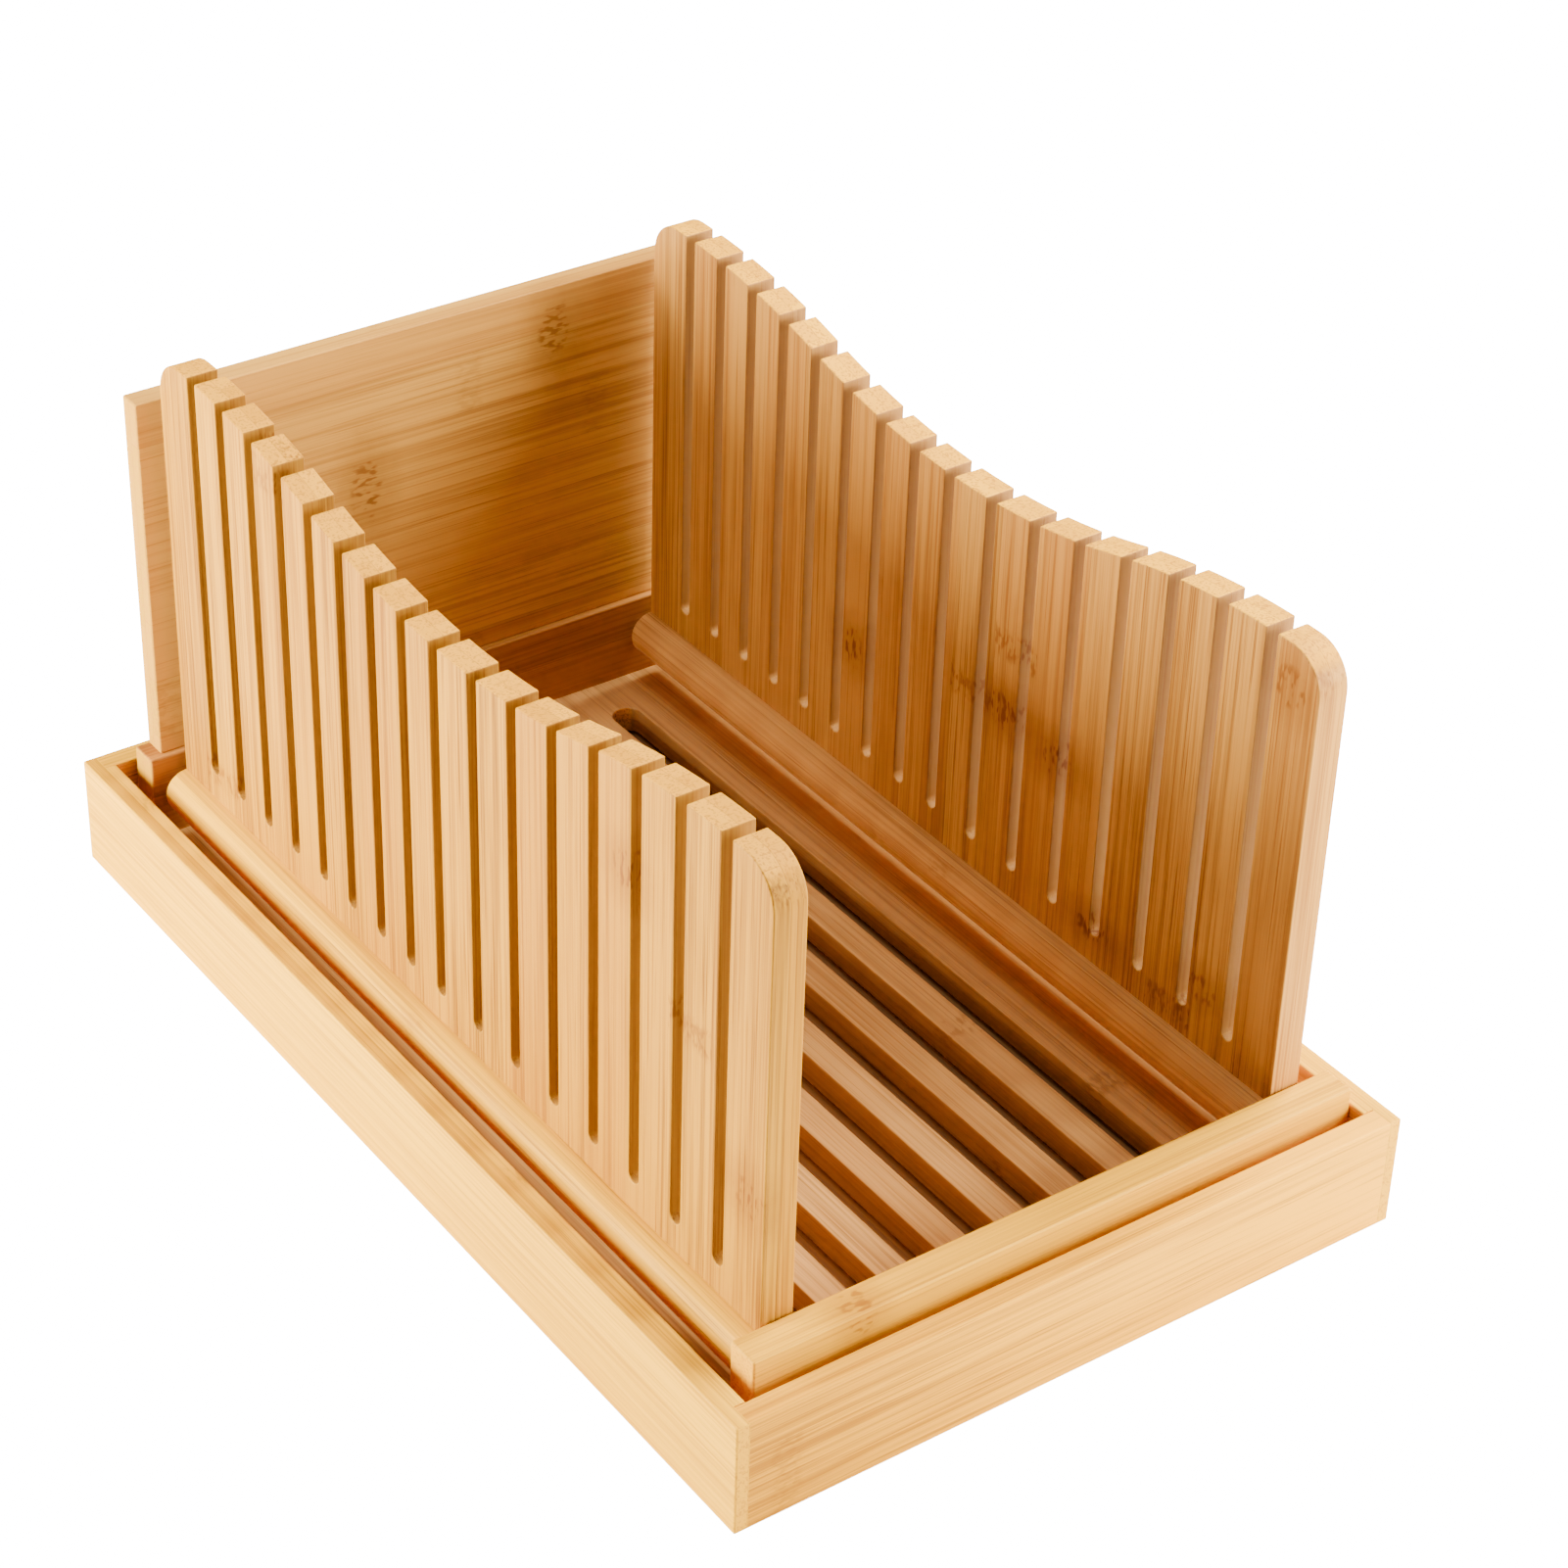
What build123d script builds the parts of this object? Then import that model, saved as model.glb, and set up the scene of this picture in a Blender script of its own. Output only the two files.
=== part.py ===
from build123d import *
import os

# Bread slicer guide in bamboo: a crumb tray with a folding slicer standing in it.
# Frame: X runs left to right, Y front to back, Z up.  The origin is the centre of
# the tray's footprint, on the surface that the tray stands on.  All sizes in mm.

# ---- Crumb tray
TRAY_LENGTH = 370.0
TRAY_WIDTH = 232.0
TRAY_HEIGHT = 37.7
SIDE_WALL = 8.0
END_WALL = 7.7
CORNER_LIP = 4.3  # what the corner rabbet leaves of a side wall
FLOOR_THICKNESS = 2.5
FLOOR_RISE = 1.5  # underside of the floor panel above the table
GROOVE_DEPTH = 3.0
GROOVE_END_PLAY = 0.5  # room for the floor panel to swell
TRAY_ROUNDING = 0.6

# ---- How the slicer lies in the tray: loose, pushed to the right and to the back
SLICER_LEFT_GAP = 5.9
SLICER_RIGHT_GAP = 0.5
SLICER_FRONT_GAP = 5.0
SLICER_REAR_GAP = 2.4

# ---- Slicer base: slotted board between two rails
RAIL_THICKNESS = 10.8
RAIL_HEIGHT = 40.0
RAIL_ROUNDING = 0.8
BOARD_THICKNESS = 9.0
BOARD_RISE = 1.6  # underside of the board above the tray's floor
BOARD_ROUNDING = 0.5
CRUMB_SLOT_WIDTH = 10.0
CRUMB_SLOT_PITCH = 20.85
CRUMB_SLOT_END_MARGIN = 17.0  # board end to slot end
CRUMB_SLOT_SIDE_MARGIN = 34.0  # least plain width beside the outer slots

# ---- Folding guides: slotted plate with a half-round hinge bar on its left face
GUIDE_FRONT_GAP = 0.9  # guide end to the front rail
GUIDE_REAR_GAP = 3.7  # guide end to the rear rail
GUIDE_THICKNESS = 10.6
GUIDE_INSET = 10.4  # plate's outer face to the end of the rails
GUIDE_END_TOP = 156.9  # top of the plate's ends above the pivot
GUIDE_DIP = 19.5  # how far the top sinks in the middle
CREST_INSET = 14.5  # straight stretch of the top at either end
GUIDE_CORNER_RADIUS = 12.5
GUIDE_ROUNDING = 0.5
KNIFE_SLOT_WIDTH = 4.7
KNIFE_SLOT_FOOT = 17.4  # lowest point of the knife slots above the pivot
THIN_SLICE_PITCH = 17.2  # behind the middle
THICK_SLICE_PITCH = 20.3  # in front of it
REAR_SLAT_WIDTH = 18.3
FRONT_SLAT_LEAST_WIDTH = 16.0
BAR_RADIUS = 7.8
PIVOT_OFFSET = 0.3  # pivot axis to the left of the plate's left face
PIVOT_ABOVE_BOARD = 17.5

# ---- Pivot pins
PIN_DIAMETER = 5.0
PIN_IN_GUIDE = 20.0
PIN_IN_RAIL = 7.0
PIN_BORE_END_PLAY = 1.0
PIN_RUNNING_CLEARANCE = 0.05  # radial, in the rail
PIN_CHAMFER = 0.4

# ---- Back panel, standing on dowels in the rear rail
PANEL_THICKNESS = 8.3
PANEL_HEIGHT = 126.2
PANEL_END_INSET = 4.7  # panel end to rail end
PANEL_REAR_INSET = 0.3  # panel's rear face to the rail's rear face
PANEL_ROUNDING = 0.6
PANEL_DOWEL_DIAMETER = 5.0
PANEL_DOWEL_IN_PANEL = 16.0
PANEL_DOWEL_IN_RAIL = 14.0
PANEL_DOWEL_END_PLAY = 1.0
PANEL_DOWEL_CLEARANCE = 0.05  # radial, in the rail
PANEL_DOWEL_INSET = 34.0  # outer dowels to the panel's ends
PANEL_DOWEL_COUNT = 3

# ---- Glued dowels that join each rail to the board
RAIL_DOWEL_DIAMETER = 5.0
RAIL_DOWEL_IN_BOARD = 14.0
RAIL_DOWEL_IN_RAIL = 7.0
RAIL_DOWEL_INSET = 22.0  # outer dowels to the rail's ends
RAIL_DOWEL_COUNT = 3
DOWEL_CHAMFER = 0.6

# ---- Worked out from the sizes above
TRAY_INNER_WIDTH = TRAY_WIDTH - 2 * SIDE_WALL
TRAY_INNER_LENGTH = TRAY_LENGTH - 2 * END_WALL
RABBET_DEPTH = SIDE_WALL - CORNER_LIP
FLOOR_TOP = FLOOR_RISE + FLOOR_THICKNESS
RAIL_LENGTH = TRAY_INNER_WIDTH - SLICER_LEFT_GAP - SLICER_RIGHT_GAP
SLICER_LENGTH = TRAY_INNER_LENGTH - SLICER_FRONT_GAP - SLICER_REAR_GAP
SLICER_X = (SLICER_LEFT_GAP - SLICER_RIGHT_GAP) / 2
SLICER_Y = (SLICER_FRONT_GAP - SLICER_REAR_GAP) / 2
RAIL_TOP = FLOOR_TOP + RAIL_HEIGHT
BOARD_BOTTOM = FLOOR_TOP + BOARD_RISE
BOARD_TOP = BOARD_BOTTOM + BOARD_THICKNESS
BOARD_LENGTH = SLICER_LENGTH - 2 * RAIL_THICKNESS
PIVOT_HEIGHT = BOARD_TOP + PIVOT_ABOVE_BOARD
GUIDE_LENGTH = BOARD_LENGTH - GUIDE_FRONT_GAP - GUIDE_REAR_GAP
GUIDE_Y = (GUIDE_FRONT_GAP - GUIDE_REAR_GAP) / 2
GUIDE_FOOT = PIVOT_HEIGHT - BAR_RADIUS
GUIDE_TOP = PIVOT_HEIGHT + GUIDE_END_TOP
LEFT_GUIDE_FACE = GUIDE_INSET - RAIL_LENGTH / 2  # left face of the left plate
RIGHT_GUIDE_FACE = RAIL_LENGTH / 2 - GUIDE_INSET - GUIDE_THICKNESS  # and of the right
PANEL_WIDTH = RAIL_LENGTH - 2 * PANEL_END_INSET
PANEL_Y = SLICER_LENGTH / 2 - PANEL_REAR_INSET - PANEL_THICKNESS / 2
FILLET_SHARE = 0.45  # most of a wall's thickness that one fillet may take


def block(width, depth, height, x=0.0, y=0.0, bottom=0.0):
    """A plain board centred on (x, y) with its underside at the given height."""
    return Pos(x, y, bottom + height / 2) * Box(width, depth, height)


def wall_limited(radius, wall):
    """A fillet radius that leaves something of the wall it is on."""
    return min(radius, FILLET_SHARE * wall)


def rod(diameter, length, chamfer_size):
    """A round rod along Z, centred on the origin, with chamfered ends."""
    plain = Cylinder(diameter / 2, length)
    return chamfer(plain.edges().filter_by(GeomType.CIRCLE), chamfer_size)


def along_y(piece, x, y_low, y_high, z):
    """A piece made along Z, laid along Y between two ends."""
    return Pos(x, (y_low + y_high) / 2, z) * Rot(X=90) * piece


def evenly(count, reach):
    """Places from -reach to +reach at an even pitch."""
    return [reach * (2 * n / (count - 1) - 1) for n in range(count)]


def in_tray(solids):
    """One node's solids, moved from the slicer's own centre to their place in the tray."""
    moved = [Pos(SLICER_X, SLICER_Y, 0) * solid for solid in solids]
    return moved[0] if len(moved) == 1 else Compound(children=moved)


# ------------------------------------------------------------------ crumb tray
def tray_side_wall(side):
    """Left (-1) or right (+1) wall, rabbeted for the end walls and grooved for the floor."""
    inner = TRAY_INNER_WIDTH / 2
    wall = block(SIDE_WALL, TRAY_LENGTH, TRAY_HEIGHT, side * (inner + SIDE_WALL / 2))
    wall = fillet(wall.edges(), wall_limited(TRAY_ROUNDING, SIDE_WALL))
    for end in (-1, 1):
        wall -= block(
            RABBET_DEPTH, END_WALL, TRAY_HEIGHT,
            side * (inner + RABBET_DEPTH / 2), end * (TRAY_LENGTH - END_WALL) / 2,
        )
    groove_x = side * (inner + GROOVE_DEPTH / 2)
    wall -= block(GROOVE_DEPTH, TRAY_INNER_LENGTH, FLOOR_THICKNESS, groove_x, 0, FLOOR_RISE)
    return wall


def tray_end_wall(end):
    """Front (-1) or rear (+1) wall between the side walls' lips, grooved for the floor."""
    length = TRAY_WIDTH - 2 * CORNER_LIP
    inner = TRAY_INNER_LENGTH / 2
    wall = block(length, END_WALL, TRAY_HEIGHT, 0, end * (inner + END_WALL / 2))
    long_edges = wall.edges().filter_by(Axis.X)
    wall = fillet(long_edges, wall_limited(TRAY_ROUNDING, END_WALL))
    groove_y = end * (inner + GROOVE_DEPTH / 2)
    wall -= block(length, GROOVE_DEPTH, FLOOR_THICKNESS, 0, groove_y, FLOOR_RISE)
    return wall


def tray_floor_panel():
    """Thin panel held in the grooves of all four walls."""
    side_reach = min(GROOVE_DEPTH, RABBET_DEPTH) - GROOVE_END_PLAY
    end_reach = GROOVE_DEPTH - GROOVE_END_PLAY
    width = TRAY_INNER_WIDTH + 2 * side_reach
    length = TRAY_INNER_LENGTH + 2 * end_reach
    return block(width, length, FLOOR_THICKNESS, 0, 0, FLOOR_RISE)


# ---------------------------------------------------------------- slicer base
def rail_dowel_solids(end):
    """The dowels between one rail and the board, front (-1) or rear (+1)."""
    joint = end * BOARD_LENGTH / 2
    near = joint - end * RAIL_DOWEL_IN_BOARD
    far = joint + end * RAIL_DOWEL_IN_RAIL
    height = BOARD_BOTTOM + BOARD_THICKNESS / 2
    dowel = rod(RAIL_DOWEL_DIAMETER, RAIL_DOWEL_IN_BOARD + RAIL_DOWEL_IN_RAIL, DOWEL_CHAMFER)
    places = evenly(RAIL_DOWEL_COUNT, RAIL_LENGTH / 2 - RAIL_DOWEL_INSET)
    return [along_y(dowel, x, near, far, height) for x in places]


def crumb_slot_places():
    """X of the crumb slots, on both sides of the middle one."""
    room = RAIL_LENGTH / 2 - CRUMB_SLOT_SIDE_MARGIN - CRUMB_SLOT_WIDTH / 2
    per_side = int(room / CRUMB_SLOT_PITCH)
    return [n * CRUMB_SLOT_PITCH for n in range(-per_side, per_side + 1)]


def slotted_board():
    """Board with lengthwise round-ended slots that the crumbs fall through."""
    outline = Rectangle(RAIL_LENGTH, BOARD_LENGTH)
    slot_length = BOARD_LENGTH - 2 * CRUMB_SLOT_END_MARGIN
    for x in crumb_slot_places():
        outline -= Pos(x, 0) * SlotOverall(slot_length, CRUMB_SLOT_WIDTH, 90)
    board = Pos(0, 0, BOARD_BOTTOM) * extrude(outline, BOARD_THICKNESS)
    top_edges = board.edges().group_by(Axis.Z)[-1]
    at_rails = top_edges.filter_by(Axis.X)
    board = fillet(top_edges - at_rails, wall_limited(BOARD_ROUNDING, BOARD_THICKNESS))
    for end in (-1, 1):
        for dowel in rail_dowel_solids(end):
            board -= dowel
    return board


def pivot_bore(end, guide_face):
    """Blind bore in one rail for one guide's pin."""
    inner = end * BOARD_LENGTH / 2
    depth = PIN_IN_RAIL + PIN_BORE_END_PLAY
    bore = Cylinder(PIN_DIAMETER / 2 + PIN_RUNNING_CLEARANCE, depth)
    return along_y(bore, guide_face - PIVOT_OFFSET, inner, inner + end * depth, PIVOT_HEIGHT)


def rail(end):
    """Front (-1) or rear (+1) rail with the guides' pivot bores and its dowel holes."""
    centre = end * (SLICER_LENGTH - RAIL_THICKNESS) / 2
    part = block(RAIL_LENGTH, RAIL_THICKNESS, RAIL_HEIGHT, 0, centre, FLOOR_TOP)
    part = fillet(part.edges(), wall_limited(RAIL_ROUNDING, RAIL_THICKNESS))
    for face in (LEFT_GUIDE_FACE, RIGHT_GUIDE_FACE):
        part -= pivot_bore(end, face)
    for dowel in rail_dowel_solids(end):
        part -= dowel
    return part


def rear_rail():
    """The rear rail, with bores in its top for the back panel's dowels."""
    part = rail(1)
    depth = PANEL_DOWEL_IN_RAIL + PANEL_DOWEL_END_PLAY
    bore = Cylinder(PANEL_DOWEL_DIAMETER / 2 + PANEL_DOWEL_CLEARANCE, depth)
    for x in panel_dowel_places():
        part -= Pos(x, PANEL_Y, RAIL_TOP - depth / 2) * bore
    return part


# -------------------------------------------------------------- folding guides
def knife_slot_places():
    """Distance of each knife slot from the guide's middle, back to front."""
    half = GUIDE_LENGTH / 2
    rearmost = half - REAR_SLAT_WIDTH - KNIFE_SLOT_WIDTH / 2
    foremost = KNIFE_SLOT_WIDTH / 2 + FRONT_SLAT_LEAST_WIDTH - half
    thin = int(rearmost / THIN_SLICE_PITCH)
    middle = rearmost - thin * THIN_SLICE_PITCH
    thick = int((middle - foremost) / THICK_SLICE_PITCH)
    places = [rearmost - n * THIN_SLICE_PITCH for n in range(thin + 1)]
    places += [middle - n * THICK_SLICE_PITCH for n in range(1, thick + 1)]
    return places


def guide_outline():
    """Side view of a plate: its top sinks from both ends to the middle in one long wave."""
    half = GUIDE_LENGTH / 2
    crest = half - CREST_INSET
    turn_height = GUIDE_TOP - GUIDE_DIP / 2
    top = Polyline((crest, GUIDE_TOP), (half, GUIDE_TOP), (half, GUIDE_FOOT))
    top += Polyline((half, GUIDE_FOOT), (-half, GUIDE_FOOT), (-half, GUIDE_TOP), (-crest, GUIDE_TOP))
    top += TangentArc((-crest, GUIDE_TOP), (-crest / 2, turn_height), tangent=(1, 0))
    top += ThreePointArc(
        (-crest / 2, turn_height), (0, GUIDE_TOP - GUIDE_DIP), (crest / 2, turn_height)
    )
    top += TangentArc((crest, GUIDE_TOP), (crest / 2, turn_height), tangent=(-1, 0))
    outline = make_face(top)
    highest = outline.vertices().group_by(Axis.Y)[-1].sort_by(Axis.X)
    outline = fillet([highest[0], highest[-1]], min(GUIDE_CORNER_RADIUS, CREST_INSET))
    foot = PIVOT_HEIGHT + KNIFE_SLOT_FOOT + KNIFE_SLOT_WIDTH / 2
    reach = GUIDE_TOP + KNIFE_SLOT_WIDTH - foot
    slot = SlotCenterToCenter(reach, KNIFE_SLOT_WIDTH, 90)
    for place in knife_slot_places():
        outline -= Pos(place, foot + reach / 2) * slot
    return outline


def pin_spans():
    """Y of each pin's two ends and of the guide's end between them: front, then rear."""
    half = GUIDE_LENGTH / 2
    rail_face = BOARD_LENGTH / 2
    front = (GUIDE_Y - half + PIN_IN_GUIDE, GUIDE_Y - half, -rail_face - PIN_IN_RAIL)
    rear = (GUIDE_Y + half - PIN_IN_GUIDE, GUIDE_Y + half, rail_face + PIN_IN_RAIL)
    return {"front": front, "rear": rear}


def without_pin_holes(piece):
    """The same piece with the holes that the guide's two pins are pressed into."""
    for inside, guide_end, _ in pin_spans().values():
        hole = Cylinder(PIN_DIAMETER / 2, abs(guide_end - inside))
        piece -= along_y(hole, -PIVOT_OFFSET, inside, guide_end, PIVOT_HEIGHT)
    return piece


def guide_plate():
    """Slotted plate that steers the knife, with its left face at x = 0."""
    outline = Plane.YZ * guide_outline()
    plate = extrude(outline, GUIDE_THICKNESS, dir=(1, 0, 0))
    plate = fillet(plate.edges(), wall_limited(GUIDE_ROUNDING, GUIDE_THICKNESS))
    return without_pin_holes(Pos(0, GUIDE_Y, 0) * plate)


def hinge_bar():
    """Half-round bar glued along the foot of the plate's left face."""
    half = GUIDE_LENGTH / 2
    whole = Cylinder(BAR_RADIUS, GUIDE_LENGTH)
    bar = fillet(whole.edges().filter_by(GeomType.CIRCLE), wall_limited(GUIDE_ROUNDING, BAR_RADIUS))
    bar = along_y(bar, 0, GUIDE_Y - half, GUIDE_Y + half, PIVOT_HEIGHT)
    right_half = block(
        BAR_RADIUS, GUIDE_LENGTH, 2 * BAR_RADIUS, BAR_RADIUS / 2, GUIDE_Y, GUIDE_FOOT
    )
    return without_pin_holes(bar - right_half)


def pivot_pin(span):
    """Steel pin pressed into one end of a guide and running in the rail's bore."""
    inside, _, outside = span
    pin = rod(PIN_DIAMETER, abs(outside - inside), PIN_CHAMFER)
    return along_y(pin, -PIVOT_OFFSET, inside, outside, PIVOT_HEIGHT)


# ------------------------------------------------------------------ back panel
def panel_dowel_places():
    """X of the back panel's dowels."""
    return evenly(PANEL_DOWEL_COUNT, PANEL_WIDTH / 2 - PANEL_DOWEL_INSET)


def back_panel():
    """Upright panel that the loaf is pushed against, bored from below for its dowels."""
    panel = block(PANEL_WIDTH, PANEL_THICKNESS, PANEL_HEIGHT, 0, PANEL_Y, RAIL_TOP)
    panel = fillet(panel.edges(), wall_limited(PANEL_ROUNDING, PANEL_THICKNESS))
    hole = Cylinder(PANEL_DOWEL_DIAMETER / 2, PANEL_DOWEL_IN_PANEL)
    for x in panel_dowel_places():
        panel -= Pos(x, PANEL_Y, RAIL_TOP + PANEL_DOWEL_IN_PANEL / 2) * hole
    return panel


def panel_dowel_solids():
    """Dowels glued into the panel, which slide into the rear rail."""
    dowel = rod(PANEL_DOWEL_DIAMETER, PANEL_DOWEL_IN_PANEL + PANEL_DOWEL_IN_RAIL, DOWEL_CHAMFER)
    middle = RAIL_TOP + (PANEL_DOWEL_IN_PANEL - PANEL_DOWEL_IN_RAIL) / 2
    return [Pos(x, PANEL_Y, middle) * dowel for x in panel_dowel_places()]


def guide_pieces():
    """Both guides' pieces, by name: one guide's pieces, set at the two plates' left faces."""
    one_guide = {"guide_plate": guide_plate(), "hinge_bar": hinge_bar()}
    for end, span in pin_spans().items():
        one_guide[f"{end}_pivot_pin"] = pivot_pin(span)
    named = {}
    for side, face in (("left", LEFT_GUIDE_FACE), ("right", RIGHT_GUIDE_FACE)):
        for part, solid in one_guide.items():
            named[f"{side}_{part}"] = [Pos(face, 0, 0) * solid]
    return named


def tray_pieces():
    """The crumb tray's pieces, by name."""
    return {
        "tray_left_wall": tray_side_wall(-1),
        "tray_right_wall": tray_side_wall(1),
        "tray_front_wall": tray_end_wall(-1),
        "tray_rear_wall": tray_end_wall(1),
        "tray_floor_panel": tray_floor_panel(),
    }


def slicer_pieces():
    """The slicer's solids, by node name, about the slicer's own centre."""
    named = {
        "slotted_board": [slotted_board()],
        "front_rail": [rail(-1)],
        "rear_rail": [rear_rail()],
        "front_rail_dowels": rail_dowel_solids(-1),
        "rear_rail_dowels": rail_dowel_solids(1),
        "back_panel": [back_panel()],
        "back_panel_dowels": panel_dowel_solids(),
    }
    named.update(guide_pieces())
    return named


os.makedirs("parts", exist_ok=True)
named_pieces = tray_pieces()
for name, solids in slicer_pieces().items():
    named_pieces[name] = in_tray(solids)
for name, piece in named_pieces.items():
    export_step(piece, f"parts/{name}.step")
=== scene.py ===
import logging
import math
from collections.abc import Iterator
from dataclasses import dataclass, replace
from enum import Enum
from itertools import count

import bmesh
import bpy
from mathutils import Matrix, Vector


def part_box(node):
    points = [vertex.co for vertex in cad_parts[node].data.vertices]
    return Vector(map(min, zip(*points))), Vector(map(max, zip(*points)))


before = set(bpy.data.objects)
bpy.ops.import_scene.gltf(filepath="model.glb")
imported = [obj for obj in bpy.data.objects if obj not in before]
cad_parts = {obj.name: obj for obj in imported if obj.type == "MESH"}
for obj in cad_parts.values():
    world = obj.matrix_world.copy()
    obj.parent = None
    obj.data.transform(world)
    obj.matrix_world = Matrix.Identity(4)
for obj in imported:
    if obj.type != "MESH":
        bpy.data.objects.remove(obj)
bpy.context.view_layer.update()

logging.basicConfig(level=logging.INFO, format="%(message)s")
LOG = logging.getLogger("bread_slicer_guide")

MM = 0.001
IMAGE_PIXELS = 1601
SENSOR_MM = 36.0
FIRST_SEED = 1.0
SEED_STEP = 7.3

MIX_SHARE = 0
MIX_FIRST = 6
MIX_SECOND = 7
MIX_COLOUR = 2

Socket = bpy.types.NodeSocket
Sockets = bpy.types.NodeOutputs
Value = Socket | float
Colour = tuple[float, float, float]
Axis = tuple[float, float, float]
Pair = tuple[float, float]
Plug = tuple[str, str]

RIGHT: Axis = (1.0, 0.0, 0.0)
BACK: Axis = (0.0, 1.0, 0.0)
UP: Axis = (0.0, 0.0, 1.0)
WHITE: Colour = (1.0, 1.0, 1.0)
WARM_WHITE: Colour = (1.0, 0.97, 0.78)


class Grain(Enum):
    """Which way a board's fibres run, then which way its strips lie side by side."""

    ALONG_BACK_STRIPS_UP = (BACK, UP)
    ALONG_BACK_STRIPS_RIGHT = (BACK, RIGHT)
    ALONG_RIGHT_STRIPS_UP = (RIGHT, UP)
    ALONG_UP_STRIPS_BACK = (UP, BACK)

    def turn(self) -> Matrix:
        """Rotation from the object's axes to fibre, strip and thickness axes."""
        fibre, strips = Vector(self.value[0]), Vector(self.value[1])
        return Matrix((fibre, strips, fibre.cross(strips)))


class Side(Enum):
    """Which of the two guides a piece belongs to."""

    LEFT = "left"
    RIGHT = "right"


class Wiring:
    """Adds nodes to one tree, each from sockets or plain values."""

    def __init__(self, tree: bpy.types.NodeTree) -> None:
        """Keeps the tree that the nodes are added to."""
        self.tree = tree

    def feed(self, socket: Socket, value: Value | Axis) -> None:
        """Links a socket to another one, or sets its plain value.

        Args:
            socket: The input that is fed.
            value: Another node's output, a number, a vector or a colour.
        """
        if isinstance(value, bpy.types.NodeSocket):
            self.tree.links.new(value, socket)
        elif isinstance(value, tuple) and len(socket.default_value) == 4:
            socket.default_value = (*value, 1.0)
        else:
            socket.default_value = value

    def math(self, operation: str, first: Value, second: Value = 0.0, clamp: bool = False) -> Socket:
        """One Math node.

        Args:
            operation: Blender's name of the operation.
            first: First operand.
            second: Second operand, unused by one-operand operations.
            clamp: Whether the result is kept between 0 and 1.

        Returns:
            The result's socket.
        """
        node = self.tree.nodes.new("ShaderNodeMath")
        node.operation = operation
        node.use_clamp = clamp
        self.feed(node.inputs[0], first)
        self.feed(node.inputs[1], second)
        return node.outputs[0]

    def ramp(
        self, value: Value, low: float, high: float, to_low: Value = 0.0, to_high: Value = 1.0,
    ) -> Socket:
        """A smooth step of a value from one range to another.

        Args:
            value: What is mapped.
            low: Start of the source range.
            high: End of the source range.
            to_low: Result at the start.
            to_high: Result at the end.

        Returns:
            The mapped value's socket.
        """
        node = self.tree.nodes.new("ShaderNodeMapRange")
        node.interpolation_type = "SMOOTHSTEP"
        for name, part in (
            ("Value", value), ("From Min", low), ("From Max", high), ("To Min", to_low), ("To Max", to_high),
        ):
            self.feed(node.inputs[name], part)
        return node.outputs["Result"]

    def split(self, vector: Socket) -> tuple[Socket, Socket, Socket]:
        """The three parts of a vector.

        Args:
            vector: The vector's socket.

        Returns:
            A socket for each part.
        """
        node = self.tree.nodes.new("ShaderNodeSeparateXYZ")
        self.feed(node.inputs[0], vector)
        return node.outputs[0], node.outputs[1], node.outputs[2]

    def join(self, x: Value, y: Value, z: Value) -> Socket:
        """A vector of three parts.

        Args:
            x: First part.
            y: Second part.
            z: Third part.

        Returns:
            The vector's socket.
        """
        node = self.tree.nodes.new("ShaderNodeCombineXYZ")
        for socket, part in zip(node.inputs, (x, y, z)):
            self.feed(socket, part)
        return node.outputs[0]

    def scaled(self, place: Socket, size: Axis) -> Socket:
        """A place counted in steps of the given size along each axis."""
        parts = zip(self.split(place), size)
        return self.join(*(self.math("DIVIDE", part, step) for part, step in parts))

    def turned(self, vector: Socket, turn: Matrix, shift: Vector) -> Socket:
        """A vector turned to a board's own axes, then moved.

        Args:
            vector: The vector's socket.
            turn: Rotation to the board's axes.
            shift: What is added after the turn.

        Returns:
            The turned vector's socket.
        """
        node = self.tree.nodes.new("ShaderNodeMapping")
        node.inputs["Rotation"].default_value = turn.to_euler()
        node.inputs["Location"].default_value = shift
        self.feed(node.inputs["Vector"], vector)
        return node.outputs[0]

    def noise(self, vector: Socket, seed: Value, detail: float = 1.0, roughness: float = 0.5) -> Socket:
        """Four-dimensional noise whose fourth part tells pieces apart.

        Args:
            vector: Place, already scaled to the noise's own size.
            seed: Fourth coordinate.
            detail: Octaves of finer noise.
            roughness: Strength of each finer octave.

        Returns:
            The noise between 0 and 1.
        """
        node = self.tree.nodes.new("ShaderNodeTexNoise")
        node.noise_dimensions = "4D"
        self.feed(node.inputs["Vector"], vector)
        self.feed(node.inputs["W"], seed)
        self.feed(node.inputs["Scale"], 1.0)
        self.feed(node.inputs["Detail"], detail)
        self.feed(node.inputs["Roughness"], roughness)
        return node.outputs["Fac"]

    def centred(self, value: Socket) -> Socket:
        """A value between 0 and 1 moved to lie around 0."""
        return self.math("SUBTRACT", value, 0.5)

    def placed(self, group: bpy.types.NodeTree, values: dict[str, Value | Axis]) -> Sockets:
        """One use of a node group.

        Args:
            group: The group.
            values: A socket or a plain value for each input.

        Returns:
            The group's outputs.
        """
        node = self.tree.nodes.new("ShaderNodeGroup")
        node.node_tree = group
        for name, value in values.items():
            self.feed(node.inputs[name], value)
        return node.outputs

    def chance(self, x: Value, y: Value, seed: Value) -> tuple[Socket, Socket, Socket]:
        """Three random numbers that stay the same for the same x, y and seed.

        Args:
            x: First whole number, such as a strip's.
            y: Second whole number, such as a layer's.
            seed: Tells boards or strips apart.

        Returns:
            Three sockets between 0 and 1.
        """
        node = self.tree.nodes.new("ShaderNodeTexWhiteNoise")
        node.noise_dimensions = "3D"
        self.feed(node.inputs["Vector"], self.join(x, y, seed))
        return self.split(node.outputs["Color"])

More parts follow.
